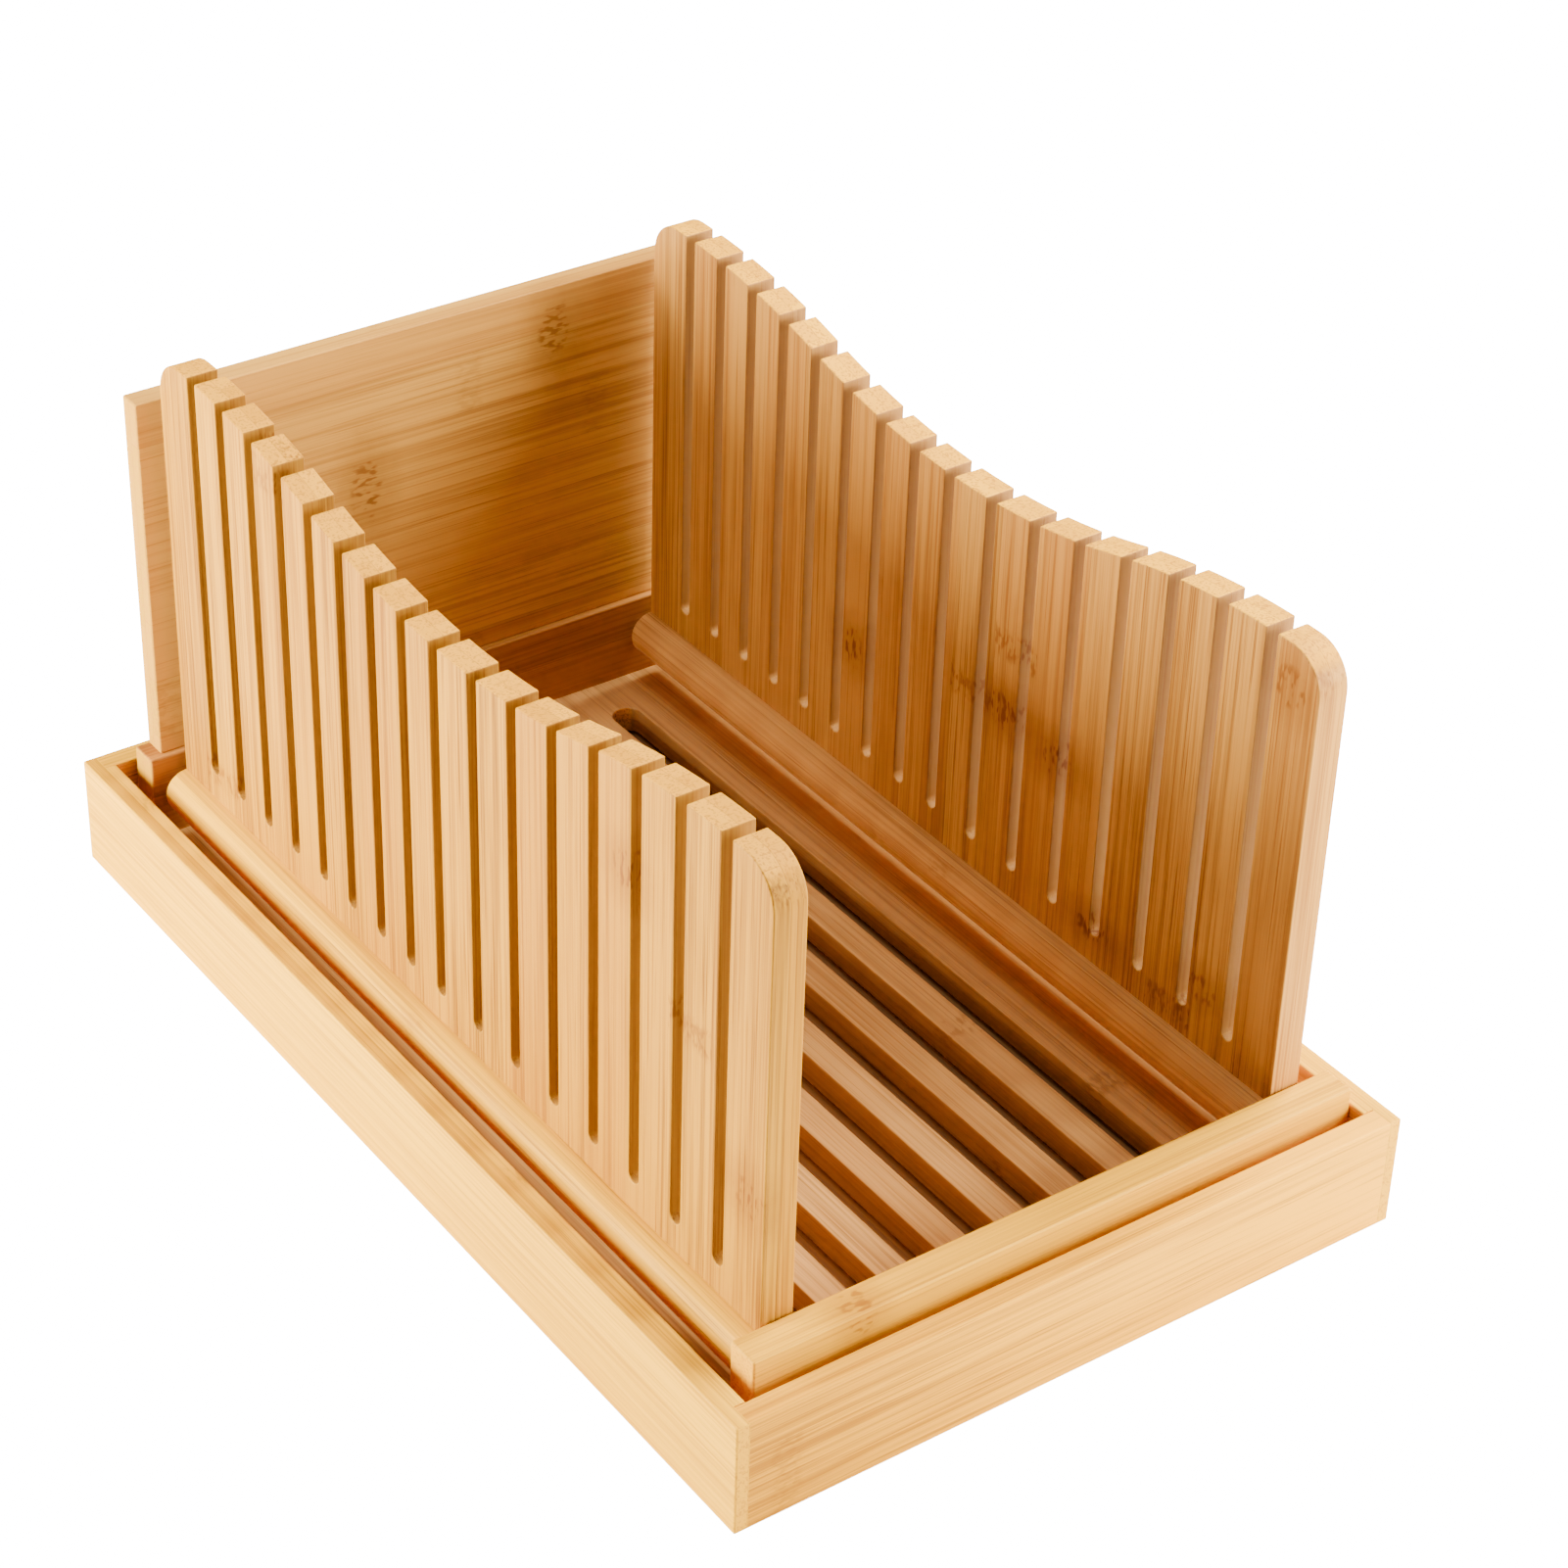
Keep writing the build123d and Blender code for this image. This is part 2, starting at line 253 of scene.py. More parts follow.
    def blend(self, share: Value, first: Socket | Colour, second: Socket | Colour) -> Socket:
        """A mix of two colours.

        Args:
            share: How much of the second colour shows.
            first: First colour.
            second: Second colour.

        Returns:
            The mixed colour's socket.
        """
        node = self.tree.nodes.new("ShaderNodeMix")
        node.data_type = "RGBA"
        self.feed(node.inputs[MIX_SHARE], share)
        self.feed(node.inputs[MIX_FIRST], first)
        self.feed(node.inputs[MIX_SECOND], second)
        return node.outputs[MIX_COLOUR]


def new_group(name: str, inputs: tuple[Plug, ...], outputs: tuple[Plug, ...]) -> bpy.types.NodeTree:
    """An empty shader group with its named inputs and outputs.

    Args:
        name: The group's name.
        inputs: Name and socket type of each input.
        outputs: Name and socket type of each output.

    Returns:
        The group.
    """
    tree = bpy.data.node_groups.new(name, "ShaderNodeTree")
    for label, kind in inputs:
        tree.interface.new_socket(label, in_out="INPUT", socket_type=kind)
    for label, kind in outputs:
        tree.interface.new_socket(label, in_out="OUTPUT", socket_type=kind)
    tree.nodes.new("NodeGroupInput")
    tree.nodes.new("NodeGroupOutput")
    return tree


@dataclass(frozen=True)
class Strips:
    """Sockets that tell one glued strip of a board from the next."""

    index: Socket
    tone: Socket
    warmth: Socket
    phase: Socket
    seed: Socket
    seam: Socket


@dataclass(frozen=True)
class CulmPattern:
    """What every bamboo board shares: strips, fibres, knuckles, cut walls and end grain.

    Sizes are in metres, along the fibres, across the strips and through the board. A range
    is where a mask starts and where it is full. A detail is octaves, then their roughness.
    """

    strip_seed_step: float = 37.0
    seam_width: float = 0.00022
    fibre_size: Axis = (0.100, 0.00090, 0.00090)
    fibre_detail: Pair = (2.5, 0.55)
    hair_size: Axis = (0.050, 0.00052, 0.00052)
    hair_range: Pair = (0.57, 0.70)
    band_size: Axis = (0.600, 0.0042, 0.0042)
    cloud_size: Axis = (0.110, 0.0200, 0.0200)
    cloud_detail: float = 2.0
    pore_size: Axis = (0.0100, 0.00075, 0.00075)
    pore_range: Pair = (0.50, 0.66)
    knuckle_length: float = 0.0065
    knuckle_core: float = 0.35
    knuckle_share: float = 0.55
    knuckle_wander: float = 0.5
    knuckle_grain: Axis = (0.0032, 0.0012, 0.0012)
    lump_size: float = 0.0055
    lump_detail: Pair = (2.0, 0.6)
    stain_range: Pair = (0.46, 0.60)
    stain_least: float = 0.15
    facing_range: Pair = (0.55, 0.85)
    middle_shade: float = 0.70
    fibre_gain: float = 2.7
    band_gain: float = 1.2
    cloud_gain: float = 0.9
    hair_gain: float = 0.62
    hair_depth: float = 0.5
    seam_depth: float = 0.8

    INPUTS = (
        ("Place", "NodeSocketVector"), ("Facing", "NodeSocketVector"), ("Seed", "NodeSocketFloat"),
        ("Strip Width", "NodeSocketFloat"), ("Layer Thickness", "NodeSocketFloat"),
        ("Knuckle Spacing", "NodeSocketFloat"), ("Knuckle Strength", "NodeSocketFloat"),
        ("Strip Contrast", "NodeSocketFloat"), ("Cut Limit", "NodeSocketFloat"),
    )
    OUTPUTS = (
        ("Shade", "NodeSocketFloat"), ("Strip Tone", "NodeSocketFloat"),
        ("Strip Warmth", "NodeSocketFloat"), ("Knuckle", "NodeSocketFloat"),
        ("Seam", "NodeSocketFloat"), ("End Grain", "NodeSocketFloat"),
        ("Pores", "NodeSocketFloat"), ("Cut Wall", "NodeSocketFloat"), ("Height", "NodeSocketFloat"),
    )

    def seam(self, w: Wiring, number: Socket, width: Socket) -> Socket:
        """A thin line where one strip or layer meets the next.

        Args:
            w: The group's wiring.
            number: Place counted in strips or layers.
            width: Width of a strip or thickness of a layer.

        Returns:
            The line's mask.
        """
        inside = w.math("ABSOLUTE", w.math("SUBTRACT", w.math("FRACT", number), 0.5))
        edge = w.math("MULTIPLY", w.math("SUBTRACT", 0.5, inside), width)
        return w.ramp(edge, 0.0, self.seam_width, 1.0, 0.0)

    def strips(self, w: Wiring, given: Sockets) -> Strips:
        """Parts the board into layers and strips with random numbers of their own.

        Args:
            w: The group's wiring.
            given: The group's inputs.

        Returns:
            What tells the strips apart.
        """
        _, across, through = w.split(given["Place"])
        layer = w.math("DIVIDE", through, given["Layer Thickness"])
        layer_index = w.math("FLOOR", layer)
        stagger = w.chance(layer_index, 0.0, given["Seed"])[0]
        strip = w.math("ADD", w.math("DIVIDE", across, given["Strip Width"]), stagger)
        index = w.math("FLOOR", strip)
        tone, warmth, phase = w.chance(index, layer_index, given["Seed"])
        seed = w.math("ADD", given["Seed"], w.math("MULTIPLY", tone, self.strip_seed_step))
        side_seam = self.seam(w, strip, given["Strip Width"])
        layer_seam = self.seam(w, layer, given["Layer Thickness"])
        seam = w.math("MAXIMUM", side_seam, layer_seam)
        return Strips(index, tone, warmth, phase, seed, seam)

    def random_knuckles(self, w: Wiring, given: Sockets, strips: Strips) -> Socket:
        """Knuckles at random places along the strips.

        Args:
            w: The group's wiring.
            given: The group's inputs.
            strips: What tells the strips apart.

        Returns:
            The knuckles' mask.
        """
        along = w.split(given["Place"])[0]
        cycle = w.math("ADD", w.math("DIVIDE", along, given["Knuckle Spacing"]), strips.phase)
        chosen, wander, _ = w.chance(w.math("FLOOR", cycle), strips.index, strips.seed)
        shift = w.math("MULTIPLY", w.centred(wander), self.knuckle_wander)
        middle = w.math("ADD", 0.5, shift)
        to_knuckle = w.math("ABSOLUTE", w.math("SUBTRACT", w.math("FRACT", cycle), middle))
        distance = w.math("MULTIPLY", to_knuckle, given["Knuckle Spacing"])
        lump_steps = w.scaled(given["Place"], (self.lump_size,) * 3)
        lumps = w.centred(w.noise(lump_steps, strips.seed, *self.lump_detail))
        reach = w.math("ADD", distance, w.math("MULTIPLY", lumps, self.knuckle_length))
        core = self.knuckle_length * self.knuckle_core
        zone = w.ramp(reach, core, self.knuckle_length, 1.0, 0.0)
        zone = w.math("MULTIPLY", zone, w.math("LESS_THAN", chosen, self.knuckle_share))
        curl = w.noise(w.scaled(given["Place"], self.knuckle_grain), strips.seed)
        stain = w.ramp(curl, *self.stain_range, self.stain_least, 1.0)
        return w.math("MULTIPLY", w.math("MULTIPLY", zone, stain), given["Knuckle Strength"])

    def faces(self, w: Wiring, given: Sockets) -> tuple[Socket, Socket]:
        """Tells faces across the fibres and walls cut between strips from the broad faces.

        Args:
            w: The group's wiring.
            given: The group's inputs.

        Returns:
            Masks of the end grain and of the cut walls.
        """
        facing = w.split(given["Facing"])
        across = w.split(given["Place"])[1]
        end_grain = w.ramp(w.math("ABSOLUTE", facing[0]), *self.facing_range)
        cut_wall = w.ramp(w.math("ABSOLUTE", facing[1]), *self.facing_range)
        within = w.math("LESS_THAN", w.math("ABSOLUTE", across), given["Cut Limit"])
        return end_grain, w.math("MULTIPLY", cut_wall, within)

    def group(self) -> bpy.types.NodeTree:
        """Builds the node group once.

        Returns:
            The group, which puts out masks and values only.
        """
        tree = new_group("culm_pattern", self.INPUTS, self.OUTPUTS)
        given = tree.nodes["Group Input"].outputs
        result = tree.nodes["Group Output"].inputs
        w = Wiring(tree)
        place = given["Place"]
        strips = self.strips(w, given)
        end_grain, cut_wall = self.faces(w, given)

        fibre = w.centred(w.noise(w.scaled(place, self.fibre_size), strips.seed, *self.fibre_detail))
        band = w.centred(w.noise(w.scaled(place, self.band_size), strips.seed))
        cloud = w.centred(w.noise(w.scaled(place, self.cloud_size), strips.seed, self.cloud_detail))
        hair = w.ramp(w.noise(w.scaled(place, self.hair_size), strips.seed), *self.hair_range)
        pores = w.ramp(w.noise(w.scaled(place, self.pore_size), strips.seed), *self.pore_range)

        shade = w.math("ADD", w.math("MULTIPLY", fibre, self.fibre_gain), self.middle_shade)
        shade = w.math("ADD", shade, w.math("MULTIPLY", band, self.band_gain))
        shade = w.math("ADD", shade, w.math("MULTIPLY", cloud, self.cloud_gain))
        shade = w.math("SUBTRACT", shade, w.math("MULTIPLY", hair, self.hair_gain), clamp=True)
        height = w.math("SUBTRACT", fibre, w.math("MULTIPLY", hair, self.hair_depth))
        height = w.math("SUBTRACT", height, w.math("MULTIPLY", strips.seam, self.seam_depth))
        strip_tone = w.math("MULTIPLY", w.centred(strips.tone), given["Strip Contrast"])
        for name, value in (
            ("Shade", shade), ("Strip Tone", strip_tone), ("Strip Warmth", strips.warmth),
            ("Knuckle", self.random_knuckles(w, given, strips)), ("Seam", strips.seam),
            ("End Grain", end_grain), ("Pores", pores), ("Cut Wall", cut_wall), ("Height", height),
        ):
            w.feed(result[name], value)
        return tree


@dataclass(frozen=True)
class KnucklePattern:
    """One knuckle of the culm: rows of short brown dashes with a soft stain around them.

    Sizes are in metres, along the fibres, across the strips and through the board. The core
    and halo ranges are counted in the knuckle's own half length and half width.
    """

    dash_size: Axis = (0.0042, 0.0014, 0.0014)
    dash_range: Pair = (0.40, 0.62)
    lump_size: float = 0.0042
    lump_detail: Pair = (2.0, 0.6)
    raggedness: float = 0.8
    core_range: Pair = (0.45, 1.05)
    halo_range: Pair = (0.4, 2.1)
    stain: float = 0.42
    depth: float = 0.004
    depth_fade: float = 1.5

    INPUTS = (
        ("Place", "NodeSocketVector"), ("Centre", "NodeSocketVector"), ("Half Length", "NodeSocketFloat"),
        ("Half Width", "NodeSocketFloat"), ("Seed", "NodeSocketFloat"),
    )
    OUTPUTS = (("Mark", "NodeSocketFloat"),)

    def group(self) -> bpy.types.NodeTree:
        """Builds the node group once.

        Returns:
            The group, which puts out one mask.
        """
        tree = new_group("knuckle_pattern", self.INPUTS, self.OUTPUTS)
        given = tree.nodes["Group Input"].outputs
        w = Wiring(tree)
        seed = given["Seed"]
        place = w.split(given["Place"])
        centre = w.split(given["Centre"])
        away = [w.math("SUBTRACT", part, middle) for part, middle in zip(place, centre)]
        length = w.math("DIVIDE", away[0], given["Half Length"])
        width = w.math("DIVIDE", away[1], given["Half Width"])
        squares = w.math("ADD", w.math("MULTIPLY", length, length), w.math("MULTIPLY", width, width))
        lump_steps = w.scaled(given["Place"], (self.lump_size,) * 3)
        lumps = w.centred(w.noise(lump_steps, seed, *self.lump_detail))
        reach = w.math("ADD", w.math("SQRT", squares), w.math("MULTIPLY", lumps, self.raggedness))
        core = w.ramp(reach, *self.core_range, 1.0, 0.0)
        halo = w.ramp(reach, *self.halo_range, self.stain, 0.0)
        dashes = w.ramp(w.noise(w.scaled(given["Place"], self.dash_size), seed), *self.dash_range)
        mark = w.math("MAXIMUM", w.math("MULTIPLY", core, dashes), halo)
        faded = self.depth * self.depth_fade
        near = w.ramp(w.math("ABSOLUTE", away[2]), self.depth, faded, 1.0, 0.0)
        w.feed(tree.nodes["Group Output"].inputs["Mark"], w.math("MULTIPLY", mark, near))
        return tree


@dataclass(frozen=True)
class Knuckle:
    """Where one knuckle shows on a board, in metres from the part's origin."""

    place: Axis
    half_length: float = 7.0 * MM
    half_width: float = 9.0 * MM
    strength: float = 0.8


@dataclass(frozen=True)
class Patterns:
    """The node groups that all bamboo boards share."""

    culm: bpy.types.NodeTree
    knuckle: bpy.types.NodeTree


@dataclass(frozen=True)
class BambooFinish:
    """Clear-lacquered bamboo board, of strips glued side by side.

    Sizes are in metres. A share is how much of a colour shows, from 0 to 1. Drift is painted
    light and shade: how much lighter the board is painted along its fibres, per metre.
    """

    pale: Colour = (0.56, 0.240, 0.022)
    deep: Colour = (0.27, 0.088, 0.005)
    warm: Colour = (0.44, 0.150, 0.012)
    knuckle: Colour = (0.130, 0.033, 0.003)
    seam: Colour = (0.20, 0.062, 0.006)
    end: Colour = (0.78, 0.370, 0.060)
    end_pore: Colour = (0.44, 0.165, 0.015)
    cut: Colour = (0.40, 0.160, 0.035)
    strip_width: float = 20 * MM
    layer_thickness: float = 5.4 * MM
    knuckle_spacing: float = 0.30
    knuckle_strength: float = 0.6
    strip_contrast: float = 0.30
    warm_share: float = 0.45
    seam_share: float = 0.35
    pore_share: float = 0.75
    end_warm_share: float = 0.35
    cut_limit: float = 0.0
    cut_share: float = 0.6
    end_from: float = -1.0
    painted_light_drift: float = 0.0
    roughness: float = 0.52
    polish: float = 0.10
    end_dullness: float = 0.15
    gloss: float = 0.08
    grain_relief: float = 0.00006
    relief_strength: float = 0.6

    def knuckles(
        self, w: Wiring, place: Socket, marks: list[Knuckle], seed: float, group: bpy.types.NodeTree,
    ) -> list[Socket]:
        """Places the knuckles that a board is known to have.

        Args:
            w: The material's wiring.
            place: Place in the board's own axes.
            marks: The knuckles, in the board's own axes.
            seed: The board's seed.
            group: The knuckle's node group.

        Returns:
            A mask for each knuckle.
        """
        masks = []
        for number, mark in enumerate(marks):
            spot = w.placed(group, {
                "Place": place, "Centre": mark.place, "Seed": seed + number,
                "Half Length": mark.half_length, "Half Width": mark.half_width,
            })
            masks.append(w.math("MULTIPLY", spot["Mark"], mark.strength))
        return masks

    def colour(self, w: Wiring, culm: Sockets, along: Socket, knuckle: Socket) -> Socket:
        """Mixes the colours of strips, cut walls, end grain, knuckles and seams.

        Args:
            w: The material's wiring.
            culm: What the shared pattern puts out.
            along: Place along the fibres.
            knuckle: Mask of all knuckles.

        Returns:
            The board's colour.
        """
        # Drift paints light and shade along the fibres: lighter towards one end, darker towards the other.
        painted_light_drift = w.math("MULTIPLY", along, self.painted_light_drift)
        tone = w.math("ADD", culm["Shade"], culm["Strip Tone"])
        lightness = w.math("ADD", tone, painted_light_drift, clamp=True)
        colour = w.blend(lightness, self.deep, self.pale)
        colour = w.blend(w.math("MULTIPLY", culm["Strip Warmth"], self.warm_share), colour, self.warm)

        true_end = w.math("GREATER_THAN", along, self.end_from)
        slot_foot = w.math("MULTIPLY", culm["End Grain"], w.math("SUBTRACT", 1.0, true_end))
        cut = w.math("MAXIMUM", culm["Cut Wall"], slot_foot)
        colour = w.blend(w.math("MULTIPLY", cut, self.cut_share), colour, self.cut)

        end = w.blend(w.math("MULTIPLY", culm["Pores"], self.pore_share), self.end, self.end_pore)
        end = w.blend(w.math("MULTIPLY", culm["Strip Warmth"], self.end_warm_share), end, self.warm)
        colour = w.blend(w.math("MULTIPLY", culm["End Grain"], true_end), colour, end)
        colour = w.blend(knuckle, colour, self.knuckle)
        return w.blend(w.math("MULTIPLY", culm["Seam"], self.seam_share), colour, self.seam)

    def surface(self, w: Wiring, culm: Sockets) -> tuple[Socket, Socket]:
        """How dull the board is, and the relief of its fibres.

        Args:
            w: The material's wiring.
            culm: What the shared pattern puts out.

        Returns:
            Roughness and normal.
        """
        rough = w.math("SUBTRACT", self.roughness, w.math("MULTIPLY", culm["Shade"], self.polish))
        rough = w.math("ADD", rough, w.math("MULTIPLY", culm["End Grain"], self.end_dullness))
        bump = w.tree.nodes.new("ShaderNodeBump")
        bump.inputs["Strength"].default_value = self.relief_strength
        bump.inputs["Distance"].default_value = self.grain_relief
        w.feed(bump.inputs["Height"], culm["Height"])
        return rough, bump.outputs[0]

    def material(
        self, board: "Board", centre: Vector, seed: float, patterns: Patterns,
    ) -> bpy.types.Material:
        """Builds the finish for one board.

        Args:
            board: The board that wears it.
            centre: The board's middle, where the strips are counted from.
            seed: Tells this board's strips from the others'.
            patterns: The shared node groups.

        Returns:
            The material.
        """
        material = bpy.data.materials.new(board.node)
        material.use_nodes = True
        w = Wiring(material.node_tree)
        shader = material.node_tree.nodes["Principled BSDF"]
        shader.inputs["Specular IOR Level"].default_value = self.gloss

        turn = board.grain.turn()
        coordinates = w.tree.nodes.new("ShaderNodeTexCoord").outputs
        place = w.turned(coordinates["Object"], turn, -(turn @ centre))
        facing = w.turned(coordinates["Normal"], turn, Vector())
        culm = w.placed(patterns.culm, {
            "Place": place, "Facing": facing, "Seed": seed,
            "Strip Width": self.strip_width, "Layer Thickness": self.layer_thickness,
            "Knuckle Spacing": self.knuckle_spacing, "Knuckle Strength": self.knuckle_strength,
            "Strip Contrast": self.strip_contrast, "Cut Limit": self.cut_limit,
        })
        marks = [
            replace(mark, place=tuple(turn @ (Vector(mark.place) - centre))) for mark in board.knuckles
        ]
        knuckle = culm["Knuckle"]
        for mask in self.knuckles(w, place, marks, seed, patterns.knuckle):
            knuckle = w.math("MAXIMUM", knuckle, mask)
        colour = self.colour(w, culm, w.split(place)[0], knuckle)
        rough, normal = self.surface(w, culm)
        for name, value in (("Base Color", colour), ("Roughness", rough), ("Normal", normal)):
            w.feed(shader.inputs[name], value)
        return material


@dataclass(frozen=True)
class SteelFinish:
    """Plain drawn steel, with fine scratches along the pin. Sizes are in metres."""

    colour: Colour = (0.55, 0.55, 0.56)
    dull: Colour = (0.40, 0.40, 0.41)
    scratch_size: Axis = (0.0003, 0.02, 0.0003)
    scratch_detail: float = 2.0
    scratch_range: Pair = (0.2, 0.8)
    roughness: Pair = (0.25, 0.45)

    def material(self, name: str) -> bpy.types.Material:
        """Builds the finish.

        Args:
            name: The material's name.

        Returns:
            The material.
        """
        material = bpy.data.materials.new(name)
        material.use_nodes = True
        w = Wiring(material.node_tree)
        shader = material.node_tree.nodes["Principled BSDF"]
        shader.inputs["Metallic"].default_value = 1.0
        place = w.tree.nodes.new("ShaderNodeTexCoord").outputs["Object"]
        scratch = w.noise(w.scaled(place, self.scratch_size), 0.0, self.scratch_detail)
        w.feed(shader.inputs["Base Color"], w.blend(scratch, self.dull, self.colour))
        w.feed(shader.inputs["Roughness"], w.ramp(scratch, *self.scratch_range, *self.roughness))
        return material


def coat(node: str, material: bpy.types.Material) -> None:
    """Gives a frame node one material in place of its plain colour.

    Args:
        node: The node's name.
        material: What it wears.
    """
    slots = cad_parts[node].data.materials
    slots.clear()
    slots.append(material)
    LOG.info("dressed %s", node)


@dataclass(frozen=True)
class Board:
    """One bamboo board of the frame, with the way its fibres run."""

    node: str
    grain: Grain
    finish: BambooFinish
    knuckles: tuple[Knuckle, ...] = ()

    def dress(self, seed: float, patterns: Patterns) -> None:
        """Gives the board its own bamboo, in place of the plain colour.

        Args:
            seed: Tells this board's strips from the others'.
            patterns: The shared node groups.
        """
        low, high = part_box(self.node)
        coat(self.node, self.finish.material(self, (low + high) / 2, seed, patterns))


@dataclass(frozen=True)
class PhotoCamera:
    """Camera at the photograph's viewing angle. Lengths are in metres, angles in degrees."""

    azimuth: float = -36.27
    elevation: float = 34.00
    roll: float = 1.90
    distance: float = 1.187
    target: Axis = (0.03684, 0.01213, 0.07080)
    focal_pixels: float = 3957.57

    def build(self) -> bpy.types.Object:
        """Makes the camera and looks through it.

        Returns:
            The camera object.
        """
        turn, lift, roll = (math.radians(a) for a in (self.azimuth, self.elevation, self.roll))
        back = Vector((math.sin(turn) * math.cos(lift), -math.cos(turn) * math.cos(lift), math.sin(lift)))
        level = Vector((math.cos(turn), math.sin(turn), 0.0))
        upright = back.cross(level)
        right = level * math.cos(roll) + upright * math.sin(roll)
        up = upright * math.cos(roll) - level * math.sin(roll)
        lens = bpy.data.cameras.new("photo_camera")
        lens.sensor_width = SENSOR_MM
        lens.lens = self.focal_pixels / IMAGE_PIXELS * SENSOR_MM
        camera = bpy.data.objects.new("photo_camera", lens)
        matrix = Matrix((right, up, back)).transposed().to_4x4()
        matrix.translation = Vector(self.target) + back * self.distance
        camera.matrix_world = matrix
        bpy.context.scene.collection.objects.link(camera)
        bpy.context.scene.camera = camera
        return camera


@dataclass(frozen=True)
class Lamp:
    """A square soft lamp. Lengths are in metres, power in watts."""

    name: str
    place: Axis
    size: float
    power: float
    colour: Colour = WARM_WHITE
    aim: Axis = (0.0, 0.0, 0.06)

    def build(self) -> None:
        """Makes the lamp and turns it to what it lights."""
        light = bpy.data.lights.new(self.name, "AREA")
        light.size = self.size
        light.energy = self.power
        light.color = self.colour
        lamp = bpy.data.objects.new(self.name, light)
        lamp.location = self.place
        lamp.rotation_euler = (Vector(self.aim) - Vector(self.place)).to_track_quat("-Z", "Y").to_euler()
        bpy.context.scene.collection.objects.link(lamp)


@dataclass(frozen=True)
class Studio:
    """White floor and surroundings, and soft lamps at both sides. Lengths are in metres."""

    floor_size: float = 30.0
    floor_colour: Colour = (0.80, 0.80, 0.80)
    floor_roughness: float = 0.9
    floor_glow: float = 18.0
    seen_surround: float = 18.0
    surround: float = 0.03
    lamps: tuple[Lamp, ...] = (
        Lamp("left_softbox", place=(-0.75, 0.30, 0.22), size=0.40, power=37.0),
        Lamp("left_front_softbox", place=(-0.80, -0.30, 0.14), size=0.36, power=1.5),
        Lamp("right_front_softbox", place=(0.50, -0.66, 0.34), size=0.36, power=19.0),
        Lamp("right_low_softbox", place=(0.75, -0.42, 0.16), size=0.26, power=14.0),
        Lamp("right_softbox", place=(0.75, 0.00, 0.85), size=0.50, power=46.0),
        Lamp("overhead_softbox", place=(0.00, 0.05, 1.50), size=0.70, power=9.0, colour=WHITE),
    )

    def seen_only(self, wiring: Wiring, unseen: float, seen: float) -> Socket:
        """A strength that is one value for the lens and another for the light that falls on things.

        Args:
            wiring: The tree that the strength is for.
            unseen: The strength as a light.
            seen: The strength as the lens sees it.

        Returns:
            The strength's socket.
        """
        lens = wiring.tree.nodes.new("ShaderNodeLightPath").outputs["Is Camera Ray"]
        return wiring.math("ADD", unseen, wiring.math("MULTIPLY", lens, seen - unseen))

    def floor_paper(self) -> bpy.types.Material:
        """White paper that the lens sees as pure white.

        Returns:
            The material.
        """
        paper = bpy.data.materials.new("floor_paper")
        paper.use_nodes = True
        shader = paper.node_tree.nodes["Principled BSDF"]
        shader.inputs["Base Color"].default_value = (*self.floor_colour, 1.0)
        shader.inputs["Roughness"].default_value = self.floor_roughness
        shader.inputs["Emission Color"].default_value = (*WHITE, 1.0)
        wiring = Wiring(paper.node_tree)
        wiring.feed(shader.inputs["Emission Strength"], self.seen_only(wiring, 0.0, self.floor_glow))
        return paper

    def build_floor(self) -> None:
        """Makes a wide sheet of white paper."""
        mesh = bpy.data.meshes.new("floor")
        shape = bmesh.new()
        bmesh.ops.create_grid(shape, x_segments=1, y_segments=1, size=self.floor_size / 2)
        shape.to_mesh(mesh)
        shape.free()
        floor = bpy.data.objects.new("floor", mesh)
        bpy.context.scene.collection.objects.link(floor)
        mesh.materials.append(self.floor_paper())

    def build(self) -> None:
        """Makes the floor, the surroundings and the lamps."""
        self.build_floor()
        world = bpy.data.worlds.new("studio")
        world.use_nodes = True
        background = world.node_tree.nodes["Background"]
        background.inputs["Color"].default_value = (*WHITE, 1.0)
        wiring = Wiring(world.node_tree)
        strength = self.seen_only(wiring, self.surround, self.seen_surround)
        wiring.feed(background.inputs["Strength"], strength)
        bpy.context.scene.world = world
        for lamp in self.lamps:
            lamp.build()


GUIDE_CUT_LIMIT = 155 * MM
BOARD_CUT_LIMIT = 101 * MM

# Shaded copy of the guides' bamboo: the left guide is painted darker, with painted shade in its slot walls.
LEFT_GUIDE_BAMBOO_PAINTED_SHADE = BambooFinish(
    pale=(0.53, 0.245, 0.008), deep=(0.17, 0.060, 0.002), warm=(0.41, 0.150, 0.004),
    end=(0.76, 0.345, 0.020), cut=(0.20, 0.080, 0.012), cut_limit=GUIDE_CUT_LIMIT, end_from=0.0,
)
# Lit copy of the guides' bamboo: the right guide is painted paler, with painted light in its slot walls.
RIGHT_GUIDE_BAMBOO_PAINTED_LIGHT = BambooFinish(
    pale=(0.56, 0.275, 0.050), deep=(0.21, 0.082, 0.014), warm=(0.44, 0.168, 0.028),
    end=(0.84, 0.395, 0.015), knuckle=(0.140, 0.036, 0.005), cut=(0.27, 0.125, 0.040),
    cut_limit=GUIDE_CUT_LIMIT, cut_share=0.75, end_from=0.0,
)
TRAY_BAMBOO = BambooFinish(
    pale=(0.86, 0.445, 0.003), deep=(0.46, 0.205, 0.001), warm=(0.70, 0.320, 0.002),
    seam=(0.36, 0.150, 0.002), end=(0.76, 0.370, 0.006), strip_width=38 * MM,
    layer_thickness=20 * MM, strip_contrast=0.2, knuckle_strength=0.25,
)
